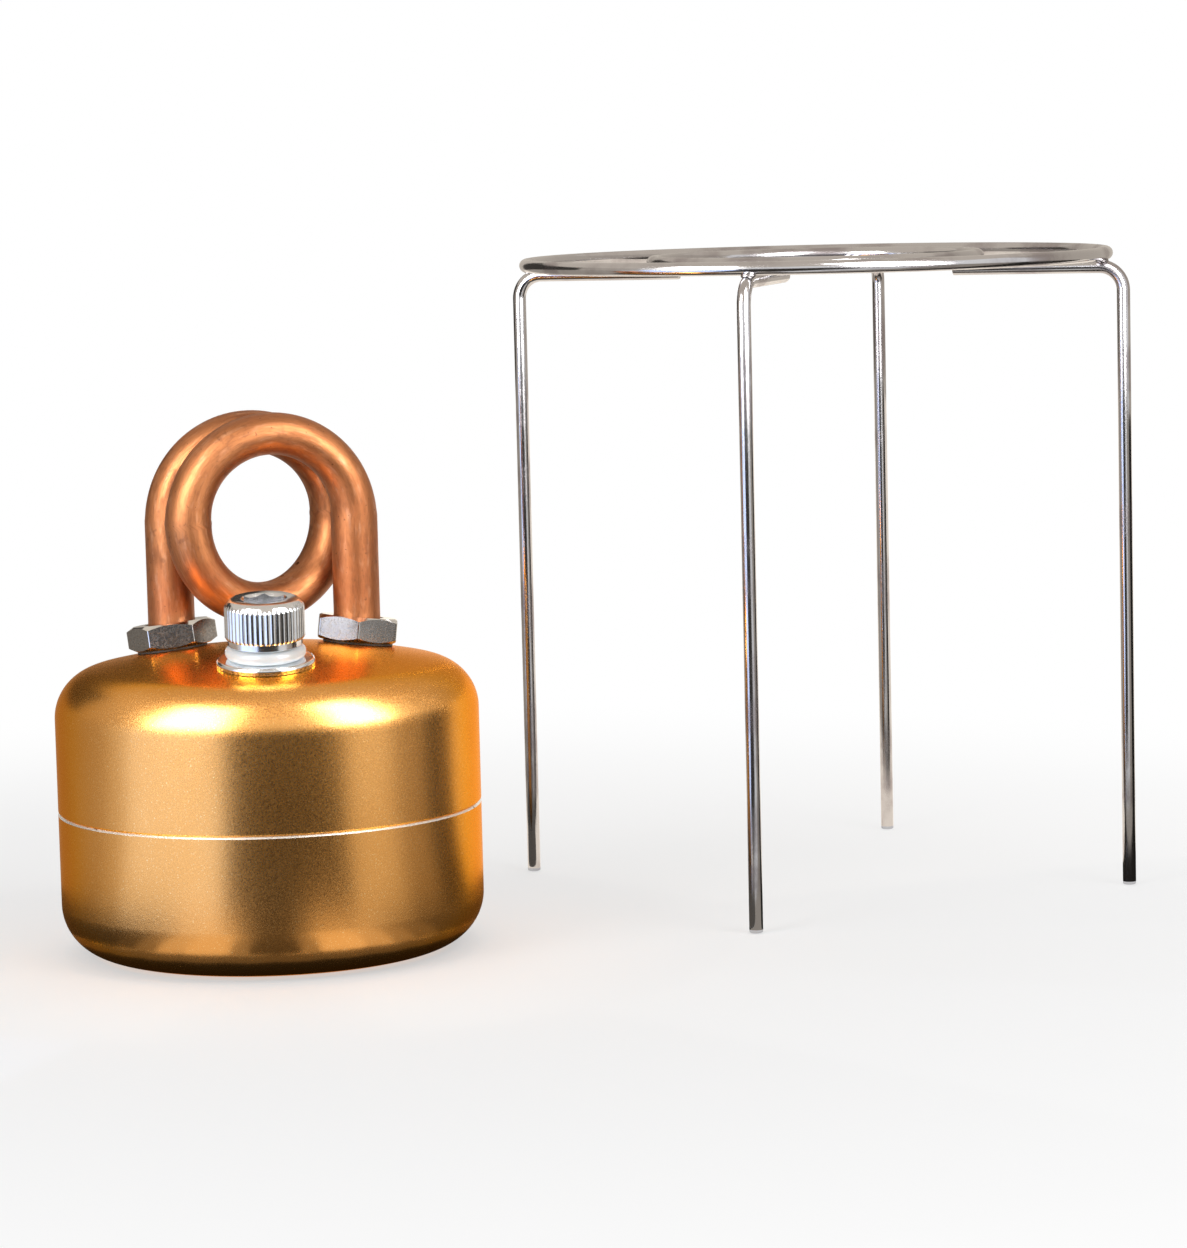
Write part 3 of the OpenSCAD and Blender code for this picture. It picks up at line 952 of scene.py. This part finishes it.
def flatten_bends(piece):
    """Ovalises the tube in its bends, as bending does, and stores the flow along it."""
    rows = tube_stations()
    centre, side, out = (np.array([tuple(row[i]) for row in rows]) for i in range(3))
    bend = np.array([row[3] for row in rows])
    run = np.concatenate([[0], np.cumsum(np.linalg.norm(np.diff(centre, axis=0), axis=1))])
    places = np.array([tuple(vertex.co) for vertex in piece.data.vertices])
    near = np.linalg.norm(places[:, None] - centre, axis=2).argmin(axis=1)
    offset = places - centre[near]
    across = (offset * side[near]).sum(axis=1)
    outward = (offset * out[near]).sum(axis=1)
    share = np.sqrt(bend[near])
    tube_r = sizes().tube_d / 2
    streak = 12 * MM
    thin, wide = 0.1, 0.035
    moved = places - out[near] * (outward * thin * share)[:, None]
    moved += side[near] * (across * wide * share)[:, None]
    piece.data.vertices.foreach_set("co", moved.reshape(-1))
    flow = piece.data.attributes.new("flow", "FLOAT_VECTOR", "POINT")
    vectors = np.stack([across / tube_r, outward / tube_r, run[near] / streak], 1)
    flow.data.foreach_set("vector", vectors.reshape(-1))
    piece.data.update()


class STOVE_OT_burner_tube(bpy.types.Operator):
    """Models the copper tube by spinning its ring through three half turns"""

    bl_idname = "stove.burner_tube"
    bl_label = "Burner tube"

    def execute(self, context):
        s = sizes()
        joints = tube_joints()
        left = joints[0]
        leg_steps, turn_steps = 24, 56
        piece = circle("copper_tube", 48, s.tube_d / 2, (left.x, left.y, LEG_END_Z))
        rise = (left.z - LEG_END_Z) / leg_steps
        extrude((0, 0, rise), leg_steps)
        for k, up in enumerate((1, -1, 1)):
            chord = (joints[k + 1] - joints[k]).normalized()
            axis = Vector((0, 0, 1)).cross(chord)
            centre = (joints[k] + joints[k + 1]) / 2
            spin(turn_steps, -up * math.pi, centre, axis)
        extrude((0, 0, -rise), leg_steps)
        leave_edit()
        flatten_bends(piece)
        edit(piece)
        bpy.ops.mesh.normals_make_consistent(inside=False)
        leave_edit()
        modify(piece, "SOLIDIFY", thickness=(s.tube_d - s.tube_bore) / 2, offset=-1)
        self.drill_jets(piece, joints)
        shade(40)
        stands_for("burner_tube", piece, "stove", "copper", bent_copper())
        return {"FINISHED"}

    def drill_jets(self, piece, joints):
        """Cuts the vapour jets in the inner face of the lower turn."""
        s = sizes()
        chord = joints[2] - joints[1]
        centre = Matrix.Translation((joints[1] + joints[2]) / 2)
        around = Matrix.Rotation(math.atan2(chord.y, chord.x), 4, "Z")
        spacing = math.radians(20)
        for i in range(s.jets):
            lean = Matrix.Rotation((i - (s.jets - 1) / 2) * spacing, 4, "Y")
            cutter = rod(s.jet_d / 2, -s.bend_r + s.tube_d / 4, -s.bend_r + s.tube_d, 16)
            place(cutter, centre @ around @ lean)
            combine(piece, cutter)
        only(piece)


# Nuts, gaskets, washers, wicks and pad
def hex_nut(name):
    """A thin nut with bright chamfers, upright at the origin."""
    s = sizes()
    corner_r = corner_radius(s.nut_af)
    face_r = s.nut_af / 2 * 0.96
    half = s.nut_h / 2
    drop = (corner_r - face_r) * math.tan(math.radians(30))
    tilt = leg_tilt(LEFT_LEG)
    bore_r = s.tube_d / 2 / math.cos(tilt) + half * math.tan(tilt) + LOOSE
    rod(corner_r, -half - MM, half + MM, 6)
    piece = named(name)
    place(piece, Matrix.Rotation(TURN / 12, 4, "Z"))
    bevel(piece, 0.12 * MM, 3)
    outline = [(0, -half), (face_r, -half), (corner_r, -half + drop)]
    outline += [(corner_r, half - drop), (face_r, half), (0, half)]
    combine(piece, lathe("turned", outline, 96), "INTERSECT")
    combine(piece, rod(bore_r, -MM - half, MM + half, 96))
    tidy_surface(piece, 18)
    finish_with(piece, nut_face(), bright_chamfer())
    smallest_flat = 5 * MM**2
    for face in piece.data.polygons:
        upright = abs(face.normal.z) < 0.05 and face.area > smallest_flat
        face.material_index = int(not upright)
    return piece


class STOVE_OT_nuts(bpy.types.Operator):
    """Models the nuts on the tube's legs and finishes the gaskets and washers"""

    bl_idname = "stove.nuts"
    bl_label = "Nuts and gaskets"

    def execute(self, context):
        nuts = (
            ("left_outer_nut", LEFT_LEG, 0),
            ("right_outer_nut", RIGHT_LEG, TURN / 12),
            ("left_inner_nut", LEFT_LEG, 0),
            ("right_inner_nut", RIGHT_LEG, 0),
        )
        for node, leg, turn in nuts:
            piece = hex_nut(node + "_piece")
            place(piece, leg_frame(node, leg, turn))
            stands_for(node, piece, "stove", "plated_nut")
        for node in ("left_gasket", "left_inner_washer", "right_gasket", "right_inner_washer"):
            finish_with(frame["nodes"][node], dark_rubber())
        return {"FINISHED"}


class STOVE_OT_wicks(bpy.types.Operator):
    """Models the twisted cotton strands and the pad on the tank's floor"""

    bl_idname = "stove.wicks"
    bl_label = "Wicks and pad"

    def execute(self, context):
        for side in ("left", "right"):
            self.twisted(side)
        self.pad()
        return {"FINISHED"}

    def twisted(self, side):
        node = side + "_wick"
        low, high = corners(node)
        # Three touching strands lie 1.155 of their radius from the axis
        strand_r = (high.x - low.x) / 2 / 2.16
        from_axis = strand_r * 1.155
        turns = 5
        outline = arc(from_axis, 0, strand_r * 0.98, 0, 330, 11)
        strands = []
        for k in range(3):
            strand = helix("strand", outline, (high.z - low.z) / turns, turns, 24)
            place(strand, Matrix.Rotation(TURN * k / 3, 4, "Z"))
            strands.append(strand)
        piece = join(strands, node + "_strands")
        tidy_surface(piece, 60)
        centre = middle(node)
        place(piece, Matrix.Translation((centre.x, centre.y, low.z)))
        squeeze = Matrix.Diagonal((1, 1, (high.z - low.z) / piece.dimensions.z, 1))
        lowest = min(vertex.co.z for vertex in piece.data.vertices)
        drop = Matrix.Translation((0, 0, -lowest))
        place(piece, Matrix.Translation((0, 0, low.z)) @ squeeze @ drop)
        stands_for(node, piece, "stove", "cotton", cotton_fibre())

    def pad(self):
        low, high = corners("fuel_pad")
        r = (high.x - low.x) / 2
        crown = (high.z - low.z) * 0.45
        edge_z = low.z + 0.1 * MM
        top_z = high.z - 0.05 * MM
        sink = 0.35 * MM
        outline = [(0, low.z)] + [(r * k / 6, low.z) for k in range(1, 6)]
        outline += arc(r - crown, low.z + crown, crown, 150, 0, 8)
        outline += [((r - crown) * k / 8, high.z) for k in range(7, -1, -1)]
        piece = lathe("cotton_pad", outline, 72, 60)
        for vertex in piece.data.vertices:
            inside = 1 - min(1, math.hypot(vertex.co.x, vertex.co.y) / r)
            lump = noise.noise(vertex.co * 260) * 0.5 * MM
            lump += noise.noise(vertex.co * 900) * 0.15 * MM
            if vertex.co.z > edge_z:
                vertex.co.z = min(top_z, vertex.co.z - sink + lump * (0.4 + inside))
        stands_for("fuel_pad", piece, "stove", "cotton", cotton_fibre())


# Pot stand
def wire_ring(centre, r):
    """A ring of wire, spun round the stand's axis."""
    at = (centre.x + r, centre.y, centre.z)
    piece = circle("ring", WIRE_SIDES, WIRE_D / 2, at, (TURN / 4, 0, 0))
    spin(180, TURN, centre)
    leave_edit()
    tidy_surface(piece, 60)
    return piece


def bent_leg(spoke_z):
    """A spoke, bend and leg in one wire, along +X from the stand's axis."""
    g = stand_sizes()
    ring_r = width("stand_inner_ring") / 2 - WIRE_D / 2
    start = ring_r - g.stub
    leg_r = g.leg_circle_d / 2
    straight = leg_r - g.bend_r - start
    drop = spoke_z - g.bend_r
    piece = circle("leg", WIRE_SIDES, WIRE_D / 2, (start, 0, spoke_z), (0, TURN / 4, 0))
    extrude((straight / 6, 0, 0), 6)
    spin(16, -TURN / 4, (leg_r - g.bend_r, 0, drop), (0, 1, 0))
    extrude((0, 0, -drop / 12), 12)
    leave_edit()
    cap_rings(piece)
    tidy_surface(piece, 50)
    bevel(piece, 0.15 * MM, 2, 60)
    shade(50)
    return piece


class STOVE_OT_stand(bpy.types.Operator):
    """Models the two rings, the four bent wires and the welds of the pot stand"""

    bl_idname = "stove.stand"
    bl_label = "Pot stand"

    def execute(self, context):
        g = stand_sizes()
        rings = {}
        for side in ("outer", "inner"):
            node = "stand_" + side + "_ring"
            rings[side] = width(node) / 2 - WIRE_D / 2
            piece = wire_ring(middle(node), rings[side])
            piece.name = side + "_ring_wire"
            stands_for(node, piece, "stand", "stand_wire", bright_wire())
        spoke_z = STAND_AT.z - WIRE_D + g.weld_sink
        foot = Matrix.Translation((STAND_AT.x, STAND_AT.y, 0))
        beads = []
        for i in range(4):
            turn = Matrix.Rotation(g.direction + TURN / 8 + TURN * i / 4, 4, "Z")
            leg = bent_leg(spoke_z)
            leg.name = "leg_wire_%d" % (i + 1)
            place(leg, foot @ turn)
            stands_for("stand_leg_%d" % (i + 1), leg, "stand", "stand_wire", bright_wire())
            for r in rings.values():
                beads.append(self.bead(foot @ turn, r))
        welds = join(beads, "ring_welds")
        finish_with(welds, weld_metal())
        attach(welds, "stand")
        return {"FINISHED"}

    def bead(self, turn, r):
        """A small spread of weld metal where a ring crosses a spoke."""
        bpy.ops.mesh.primitive_uv_sphere_add(segments=20, ring_count=12, radius=MM)
        bead = named("bead")
        for vertex in bead.data.vertices:
            vertex.co *= 1 + 0.12 * noise.noise(vertex.co * 1400)
        bpy.ops.object.shade_smooth()
        shape = Matrix.Diagonal((0.82, 0.95, 0.5, 1))
        at = Matrix.Translation((r, 0, STAND_AT.z - WIRE_D / 2))
        place(bead, turn @ at @ shape)
        return bead


# Stage
LAMPS_AIM_AT = Vector((0.02, 0, 0.03))
WHITE = (1, 1, 1)
COOL = (0.84, 1, 1.45)
WARM = (1, 0.9, 0.78)


def softbox(name, at, size, power):
    bpy.ops.object.light_add(type="AREA", location=at)
    lamp = bpy.context.active_object
    lamp.name = name
    lamp.data.shape = "RECTANGLE"
    lamp.data.size, lamp.data.size_y = size
    lamp.data.energy = power
    lamp.visible_glossy = False
    aim = LAMPS_AIM_AT - Vector(at)
    lamp.rotation_euler = aim.to_track_quat("-Z", "Y").to_euler()


def bright_for_looking(tree):
    """1 for rays from the camera and for reflected and refracted rays, else 0."""
    path = tree.nodes.new("ShaderNodeLightPath")
    seen = math_node(tree, "MAXIMUM", path.outputs["Is Camera Ray"], path.outputs["Is Glossy Ray"])
    return math_node(tree, "MAXIMUM", seen, path.outputs["Is Transmission Ray"])


def glowing(name, tone, strength):
    """An even glow for a studio card."""
    material = bpy.data.materials.new(name)
    material.use_nodes = True
    tree = material.node_tree
    glow = add_node(tree, "ShaderNodeEmission", {"Color": (*tone, 1), "Strength": strength})
    tree.links.new(glow.outputs[0], tree.nodes["Material Output"].inputs[0])
    return material


def card(name, outline, from_angle, to_angle, tone, strength):
    """A curved studio card that only reflections show. Angles in degrees run from -Y to +X."""
    start = math.radians(from_angle)
    piece = line(name, [(r * math.sin(start), -r * math.cos(start), z) for r, z in outline])
    edit(piece)
    spin(24, -math.radians(to_angle - from_angle))
    leave_edit()
    finish_with(piece, glowing(name + "_glow", tone, strength))
    piece.visible_camera = False
    piece.visible_shadow = False
    piece.visible_diffuse = False


def fan(name, outline, bands):
    """Cards side by side all the way round, each from its start to the next one's."""
    ends = [band[0] for band in bands[1:]] + [180]
    for i, ((start, tone, strength), end) in enumerate(zip(bands, ends), 1):
        card("%s_%d" % (name, i), outline, start, end, tone, strength)


class STOVE_OT_stage(bpy.types.Operator):
    """Sets the floor, the world, the studio light and the camera"""

    bl_idname = "stove.stage"
    bl_label = "Stage"

    def execute(self, context):
        self.floor()
        self.world(context.scene)
        softbox("left_softbox", (-0.46, -0.42, 0.32), (0.30, 0.46), 1.35)
        softbox("right_softbox", (0.36, -0.34, 0.52), (0.26, 0.24), 0.75)
        softbox("top_softbox", (0.05, 0.25, 0.8), (0.5, 0.4), 0.9)
        self.cards()
        self.camera(context.scene)
        context.scene.view_settings.view_transform = "Standard"
        return {"FINISHED"}

    def cards(self):
        """Rings of cards from the floor to overhead, which give the metal its bands."""
        r, low, high = 0.17, 0.06, 0.15
        near_r, foot_r, under_r, inner_r = 0.06, 0.0282, 0.026, 0.0215
        bands = (
            (-180, WARM, 0.45), (-124, WARM, 0.5), (-90, WHITE, 0.7), (-76, COOL, 1.45),
            (-22, WARM, 0.05), (37, WHITE, 0.85), (64, WARM, 0.4), (86, WARM, 0.02),
            (108, WARM, 1.2),
        )
        fan("band", [(near_r, FLOOR_GAP), (r, FLOOR_GAP), (r, low)], bands)
        near = (
            (-180, 0.05), (-76, 0.05), (-58, 0.1), (-48, 0.3), (-39, 0.85), (-29, 1.05), (-14, 0.4),
            (-8, 0.1), (8, 0.45), (14, 1.15), (29, 0.85), (39, 0.45), (48, 0.25), (60, 0.12),
        )
        outline = [(foot_r, FLOOR_GAP), (near_r, FLOOR_GAP)]
        fan("near_band", outline, [(start, WARM, strength) for start, strength in near])
        edge = [(under_r, FLOOR_GAP), (foot_r, FLOOR_GAP)]
        under = [(inner_r, FLOOR_GAP), (under_r, FLOOR_GAP)]
        card("edge_ring", edge, -180, 180, WARM, 0.16)
        card("under_ring", under, -180, 180, WARM, 0.02)
        ring = [(r, low), (r, high)]
        card("front_ring", ring, -76, 90, WHITE, 1)
        card("left_ring", ring, -120, -76, WARM, 0.6)
        card("dark_ring", ring, -180, -120, WARM, 0.06)
        card("back_ring", ring, 90, 180, WARM, 0.6)
        card("roof", [(r, high), (0.12, 0.22), (0, 0.25)], -180, 180, WARM, 0.75)
        window_r = r - 2 * MM
        window = [(window_r, 0.066), (window_r, 0.149), (0.118, 0.216)]
        card("left_window", window, -62, -22, WHITE, 12)
        card("right_window", window, 34, 64, WHITE, 13)

    def floor(self):
        """A pale floor that looks white, and less so near the object, whose shadow it keeps."""
        piece = circle("floor", 96, 4, (0, 0, -0.1 * MM), fill="NGON")
        leave_edit()
        m = Finish("floor_paint", 0, 1)
        tone = colours().floor
        m.paint(m.mix(m.clouds(3, 0.3, 0.7), tone, dimmed(tone, 0.97)))
        tree = m.tree
        reach = add_node(tree, "ShaderNodeVectorMath", {0: m.where}, operation="LENGTH")
        far = level_node(tree, reach.outputs["Value"], 0.06, 0.24)
        share = math_node(tree, "ADD", m.product(far, 0.5), 0.5)
        seen = m.product(bright_for_looking(tree), share)
        glow = add_node(tree, "ShaderNodeEmission", {})
        shaders = {0: seen, 1: m.shader.outputs[0], 2: glow.outputs[0]}
        mixer = add_node(tree, "ShaderNodeMixShader", shaders)
        tree.links.new(mixer.outputs[0], tree.nodes["Material Output"].inputs[0])
        finish_with(piece, m.material)

    def world(self, scene):
        world = scene.world = bpy.data.worlds.new("studio")
        world.use_nodes = True
        tree = world.node_tree
        back = tree.nodes["Background"]
        back.inputs["Color"].default_value = (1, 1, 1, 1)
        strength = between(tree, bright_for_looking(tree), 0.5, 1)
        tree.links.new(strength, back.inputs["Strength"])

    def camera(self, scene):
        """A camera that looks along +Y, then pans to the right, tilts down and rolls."""
        bpy.ops.object.camera_add(location=(0, -0.5462, 0.1016))
        camera = scene.camera = bpy.context.active_object
        camera.data.lens = 124
        camera.data.clip_start = 0.01
        pan, tilt, roll = math.radians(4.4), math.radians(6.4), math.radians(-1.392)
        turn = Matrix.Rotation(-pan, 4, "Z") @ Matrix.Rotation(TURN / 4 - tilt, 4, "X")
        turn @= Matrix.Rotation(roll, 4, "Z")
        camera.matrix_world = Matrix.Translation(camera.location) @ turn


STEPS = (
    STOVE_OT_upper_shell,
    STOVE_OT_lower_cup,
    STOVE_OT_filler,
    STOVE_OT_seal_ring,
    STOVE_OT_plug,
    STOVE_OT_burner_tube,
    STOVE_OT_nuts,
    STOVE_OT_wicks,
    STOVE_OT_stand,
    STOVE_OT_stage,
)


class STOVE_PT_panel(bpy.types.Panel):
    """Lists the steps that build the stove"""

    bl_label = "Alcohol stove"
    bl_idname = "STOVE_PT_panel"
    bl_space_type = "VIEW_3D"
    bl_region_type = "UI"
    bl_category = "Stove"

    def draw(self, context):
        for step in STEPS:
            self.layout.operator(step.bl_idname)


GROUPS = {"stove_sizes": StoveSizes, "stand_sizes": StandSizes, "stove_colours": StoveColours}
CLASSES = (*GROUPS.values(), *STEPS, STOVE_PT_panel)


def register():
    for kind in CLASSES:
        bpy.utils.register_class(kind)
    for name, group in GROUPS.items():
        setattr(bpy.types.Scene, name, bpy.props.PointerProperty(type=group))


def unregister():
    for name in GROUPS:
        delattr(bpy.types.Scene, name)
    for kind in reversed(CLASSES):
        bpy.utils.unregister_class(kind)


def main():
    register()
    for step in STEPS:
        group, action = step.bl_idname.split(".")
        getattr(getattr(bpy.ops, group), action)()


if __name__ == "__main__":
    main()
